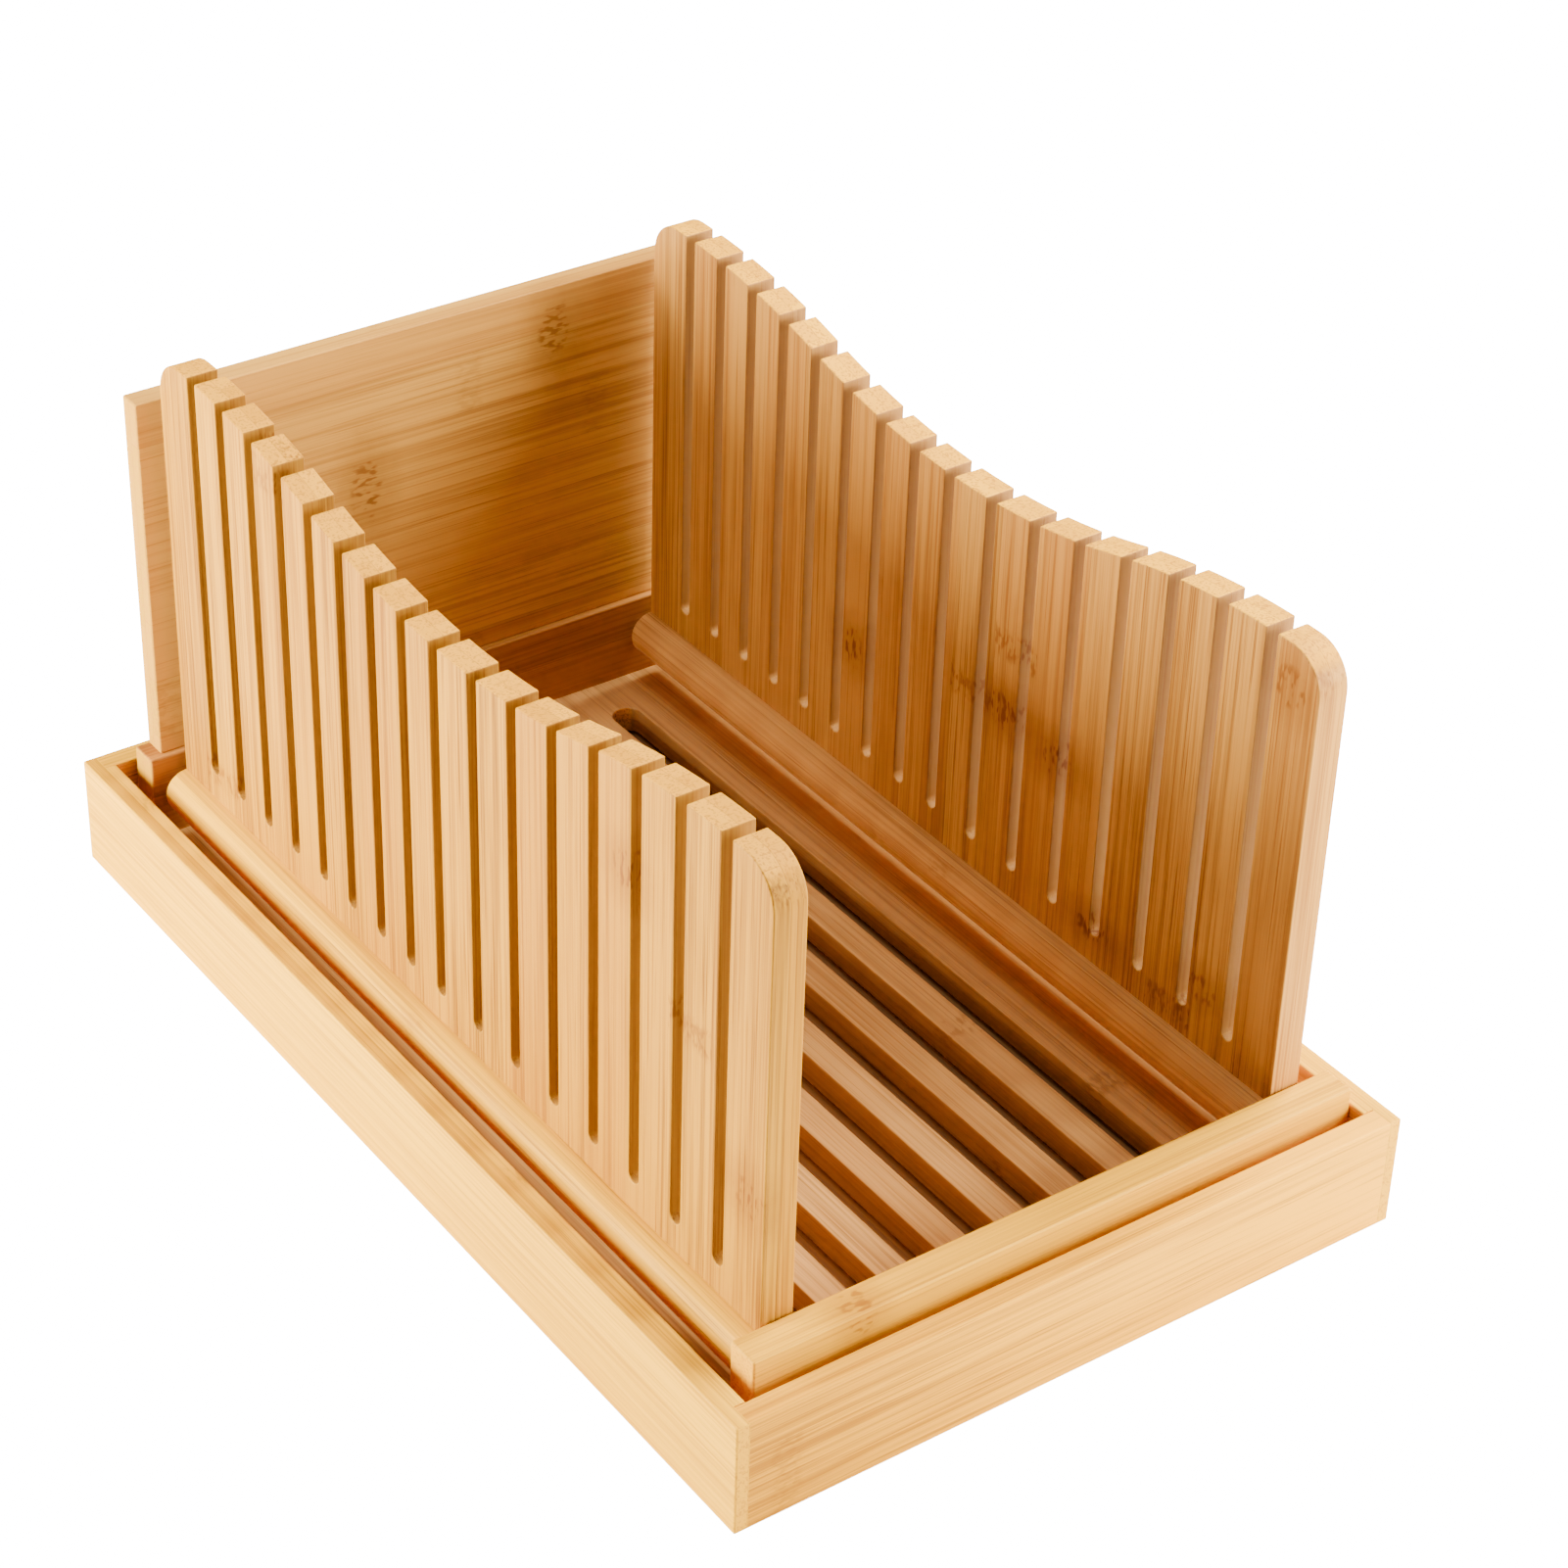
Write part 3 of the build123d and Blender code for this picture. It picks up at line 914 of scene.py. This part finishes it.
# Painted light and shade: the front wall is painted lighter towards its right end and darker towards its
# left, with a darker deep colour than the other walls.
FRONT_WALL_BAMBOO_PAINTED_LIGHT = replace(
    TRAY_BAMBOO, pale=(0.86, 0.390, 0.002), deep=(0.38, 0.144, 0.001), painted_light_drift=4.0,
)
RAIL_BAMBOO = replace(
    TRAY_BAMBOO, pale=(0.82, 0.410, 0.004), deep=(0.40, 0.165, 0.001), knuckle=(0.26, 0.080, 0.003),
)
BOARD_BAMBOO = BambooFinish(
    pale=(0.68, 0.360, 0.112), deep=(0.33, 0.148, 0.041), warm=(0.52, 0.230, 0.065),
    knuckle=(0.22, 0.080, 0.022), knuckle_strength=0.45, cut=(0.32, 0.150, 0.055),
    cut_limit=BOARD_CUT_LIMIT,
)
RIGHT_BAR_BAMBOO = replace(
    BOARD_BAMBOO, pale=(0.68, 0.345, 0.095), deep=(0.38, 0.165, 0.040), strip_width=30 * MM,
    layer_thickness=30 * MM, knuckle_strength=0.3, cut_limit=0.0,
)
LEFT_BAR_BAMBOO = replace(RAIL_BAMBOO, strip_width=30 * MM, layer_thickness=30 * MM)
# Painted shade: the panel is painted darker towards its right end, where the right guide shades it.
PANEL_BAMBOO_PAINTED_SHADE = BambooFinish(
    pale=(0.60, 0.308, 0.055), deep=(0.34, 0.150, 0.024), warm=(0.50, 0.212, 0.038),
    end=(0.44, 0.220, 0.006), knuckle=(0.180, 0.068, 0.012), strip_width=21 * MM,
    layer_thickness=8.4 * MM, strip_contrast=0.35, knuckle_strength=0.2, painted_light_drift=-2.5,
)
REAR_RAIL_BAMBOO = replace(
    PANEL_BAMBOO_PAINTED_SHADE, pale=(0.40, 0.165, 0.034), deep=(0.24, 0.085, 0.016), painted_light_drift=0.0,
)
# Painted shade: the tray's floor panel is painted darker than the slotted board, for the shade in the gap
# between the tray and the slicer base.
FLOOR_BAMBOO_PAINTED_SHADE = replace(
    BOARD_BAMBOO, pale=(0.34, 0.160, 0.050), deep=(0.18, 0.076, 0.022), cut_limit=0.0,
)
DOWEL_BAMBOO = BambooFinish(strip_width=40 * MM, layer_thickness=40 * MM, knuckle_strength=0.0)

RIGHT_FACE = 86.5 * MM
LEFT_FACE = -91.7 * MM
PANEL_FACE = 166.3 * MM
RAIL_TOP = 44.0 * MM

RIGHT_PLATE_KNUCKLES = (
    Knuckle((RIGHT_FACE, -30.2 * MM, 103.0 * MM), half_length=8 * MM, half_width=12 * MM, strength=0.95),
    Knuckle((RIGHT_FACE, -56.0 * MM, 100.0 * MM), half_length=8 * MM, half_width=10 * MM, strength=0.9),
    Knuckle((RIGHT_FACE, -79.0 * MM, 51.7 * MM), half_length=7 * MM, half_width=10 * MM, strength=0.95),
    Knuckle((RIGHT_FACE, -128.1 * MM, 60.4 * MM), half_length=7 * MM, half_width=9 * MM, strength=0.8),
    Knuckle((RIGHT_FACE, -150.0 * MM, 176.0 * MM), half_length=9 * MM, half_width=9 * MM, strength=0.85),
    Knuckle((RIGHT_FACE, 45.9 * MM, 85.9 * MM), half_length=9 * MM, half_width=8 * MM, strength=0.95),
)
LEFT_PLATE_KNUCKLES = (
    Knuckle((LEFT_FACE, -95.3 * MM, 151.4 * MM), half_length=9 * MM, half_width=9 * MM, strength=0.8),
    Knuckle((LEFT_FACE, -153.0 * MM, 82.0 * MM), half_length=9 * MM, half_width=9 * MM, strength=0.8),
)
RAIL_KNUCKLES = (
    Knuckle((-66.4 * MM, -168.3 * MM, RAIL_TOP), half_length=7 * MM, half_width=11 * MM, strength=0.8),
)
PANEL_KNUCKLES = (
    Knuckle((51.7 * MM, PANEL_FACE, 155.3 * MM), half_length=8 * MM, half_width=13 * MM, strength=0.9),
    Knuckle((-18.8 * MM, PANEL_FACE, 117.1 * MM), half_length=8 * MM, half_width=15 * MM, strength=0.9),
)


class SubAssembly:
    """Boards of the frame that belong together."""

    def boards(self) -> list[Board]:
        """The boards, in the order in which they are dressed."""
        raise NotImplementedError

    def dress(self, seeds: Iterator[float], patterns: Patterns) -> None:
        """Gives each board its own bamboo.

        Args:
            seeds: A seed for each board in turn.
            patterns: The shared node groups.
        """
        for board in self.boards():
            board.dress(next(seeds), patterns)


@dataclass(frozen=True)
class CrumbTray(SubAssembly):
    """Four walls and a floor panel that catch the crumbs."""

    walls: BambooFinish = TRAY_BAMBOO
    front_wall: BambooFinish = FRONT_WALL_BAMBOO_PAINTED_LIGHT
    floor: BambooFinish = FLOOR_BAMBOO_PAINTED_SHADE

    def boards(self) -> list[Board]:
        """The tray's boards."""
        return [
            Board("tray_left_wall", Grain.ALONG_BACK_STRIPS_UP, self.walls),
            Board("tray_right_wall", Grain.ALONG_BACK_STRIPS_UP, self.walls),
            Board("tray_front_wall", Grain.ALONG_RIGHT_STRIPS_UP, self.front_wall),
            Board("tray_rear_wall", Grain.ALONG_RIGHT_STRIPS_UP, self.walls),
            Board("tray_floor_panel", Grain.ALONG_BACK_STRIPS_RIGHT, self.floor),
        ]


@dataclass(frozen=True)
class SlicerBase(SubAssembly):
    """Slotted board, its two rails and the dowels that join them."""

    board: BambooFinish = BOARD_BAMBOO
    front_rail: BambooFinish = RAIL_BAMBOO
    rear_rail: BambooFinish = REAR_RAIL_BAMBOO
    dowels: BambooFinish = DOWEL_BAMBOO
    rail_knuckles: tuple[Knuckle, ...] = RAIL_KNUCKLES

    def boards(self) -> list[Board]:
        """The base's boards."""
        return [
            Board("slotted_board", Grain.ALONG_BACK_STRIPS_RIGHT, self.board),
            Board("front_rail", Grain.ALONG_RIGHT_STRIPS_UP, self.front_rail, self.rail_knuckles),
            Board("rear_rail", Grain.ALONG_RIGHT_STRIPS_UP, self.rear_rail),
            Board("front_rail_dowels", Grain.ALONG_BACK_STRIPS_UP, self.dowels),
            Board("rear_rail_dowels", Grain.ALONG_BACK_STRIPS_UP, self.dowels),
        ]


@dataclass(frozen=True)
class FoldingGuide(SubAssembly):
    """Slotted plate, its hinge bar and its two pivot pins, on one side."""

    side: Side
    plate: BambooFinish
    bar: BambooFinish
    knuckles: tuple[Knuckle, ...]

    def boards(self) -> list[Board]:
        """The guide's boards."""
        side = self.side.value
        return [
            Board(f"{side}_guide_plate", Grain.ALONG_UP_STRIPS_BACK, self.plate, self.knuckles),
            Board(f"{side}_hinge_bar", Grain.ALONG_BACK_STRIPS_UP, self.bar),
        ]

    def dress_pins(self, steel: bpy.types.Material) -> None:
        """Gives both pivot pins their steel."""
        for end in ("front", "rear"):
            coat(f"{self.side.value}_{end}_pivot_pin", steel)


@dataclass(frozen=True)
class BackPanel(SubAssembly):
    """Upright panel at the back, and the dowels it stands on."""

    panel: BambooFinish = PANEL_BAMBOO_PAINTED_SHADE
    dowels: BambooFinish = DOWEL_BAMBOO
    knuckles: tuple[Knuckle, ...] = PANEL_KNUCKLES

    def boards(self) -> list[Board]:
        """The panel and its dowels."""
        return [
            Board("back_panel", Grain.ALONG_RIGHT_STRIPS_UP, self.panel, self.knuckles),
            Board("back_panel_dowels", Grain.ALONG_UP_STRIPS_BACK, self.dowels),
        ]


def main() -> None:
    """Builds the camera and the studio, and dresses every piece."""
    PhotoCamera().build()
    Studio().build()
    patterns = Patterns(CulmPattern().group(), KnucklePattern().group())
    guides = (
        FoldingGuide(Side.LEFT, LEFT_GUIDE_BAMBOO_PAINTED_SHADE, LEFT_BAR_BAMBOO, LEFT_PLATE_KNUCKLES),
        FoldingGuide(Side.RIGHT, RIGHT_GUIDE_BAMBOO_PAINTED_LIGHT, RIGHT_BAR_BAMBOO, RIGHT_PLATE_KNUCKLES),
    )
    seeds = count(FIRST_SEED, SEED_STEP)
    for sub_assembly in (CrumbTray(), SlicerBase(), *guides, BackPanel()):
        sub_assembly.dress(seeds, patterns)
    steel = SteelFinish().material("pin_steel")
    for guide in guides:
        guide.dress_pins(steel)


if __name__ == "__main__":
    main()
